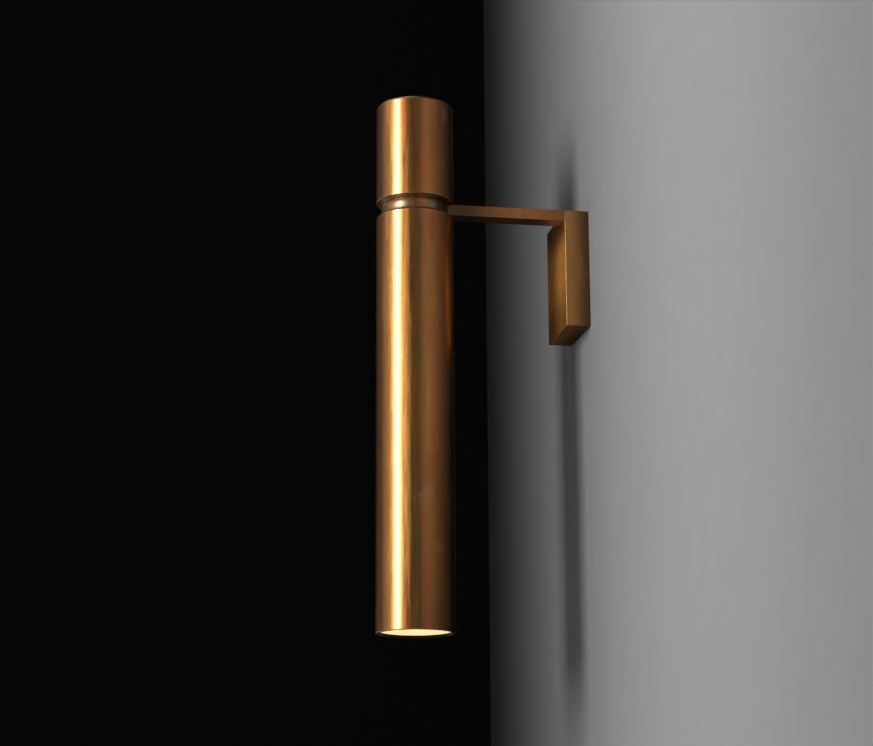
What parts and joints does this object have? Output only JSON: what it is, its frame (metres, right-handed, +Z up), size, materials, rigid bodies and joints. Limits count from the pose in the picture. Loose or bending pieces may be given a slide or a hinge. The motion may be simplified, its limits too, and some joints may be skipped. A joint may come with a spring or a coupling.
{
  "type": "tube wall light",
  "caption": "Upright round tube held off the wall by a short flat arm at a narrow neck, with a shallow box canopy; the lamp shines from the tube's lower end.",
  "frame": {"origin": "middle of the two wall screws, on the wall's surface", "axes": "+X along the wall, -Y into the room, +Z up"},
  "size_m": [0.086, 0.166, 0.413],
  "materials": {
    "burnished_brass": "burnished, warm brown patina",
    "satin_brass": "satin, rubbed pale",
    "dark_cap": "matt dark brown",
    "turned_steel": "turned",
    "zinc_steel": "zinc plated",
    "spring_steel": "dark, oiled",
    "dark_screws": "blackened",
    "bright_screws": "bright",
    "plated_brass": "bright",
    "cast_aluminium": "bead blasted",
    "nylon_washer": "matt",
    "white_nylon": "matt",
    "driver_case": "fine grain",
    "foam_tape": "matt foam",
    "soft_ring": "matt",
    "lead_sheath": "matt",
    "wire_brown": "smooth",
    "wire_earth": "smooth",
    "board_white": "solder mask",
    "led_yellow": "silicone",
    "reflector_white": "smooth",
    "opal_diffuser": "opal, fine mottle"
  },
  "bodies": {
    "bracket": {"anchor_nuts": "zinc_steel", "arm_anchor": "zinc_steel", "arm_bar": "burnished_brass", "arm_front_screws": "dark_screws", "arm_lead": "lead_sheath", "arm_rear_screws": "dark_screws", "bearing_washer": "nylon_washer", "cable_grommet": "soft_ring", "canopy_screws": "dark_screws", "driver_tape": "foam_tape", "driver_wires": "wire_brown", "earth_lug": "plated_brass", "earth_screw": "bright_screws", "earth_wire": "wire_earth", "hollow_spindle": "turned_steel", "lead_gland": "nylon_washer", "led_driver": "driver_case", "locating_pins": "zinc_steel", "lower_nut": "zinc_steel", "lower_spring_washer": "spring_steel", "mounting_plate": "zinc_steel", "neck_collar": "satin_brass", "neck_spacer": "nylon_washer", "stop_pin": "zinc_steel", "terminal_block": "white_nylon", "terminal_fixings": "bright_screws", "terminal_screws": "bright_screws", "terminal_sleeves": "plated_brass", "top_cap": "dark_cap", "top_cap_ring": "soft_ring", "upper_end_plate": "turned_steel", "upper_nut": "zinc_steel", "upper_spring_washer": "spring_steel", "upper_tube": "burnished_brass", "wall_canopy": "burnished_brass"},
    "light_tube": {"lower_tube": "burnished_brass", "lower_end_plate": "turned_steel", "tube_lead": "lead_sheath", "heat_sink": "cast_aluminium", "led_board": "board_white", "board_screws": "bright_screws", "led_array": "led_yellow", "reflector": "reflector_white", "diffuser": "opal_diffuser", "diffuser_ring": "soft_ring", "snap_rings": "spring_steel"}
  },
  "joints": [
    {"name": "tube_swivel", "type": "hinge", "parent": "bracket", "child": "light_tube", "pos_m": [0.024, -0.136, 0.033], "axis": [0, 0, 1], "range_deg": [-150, 150]}
  ]
}
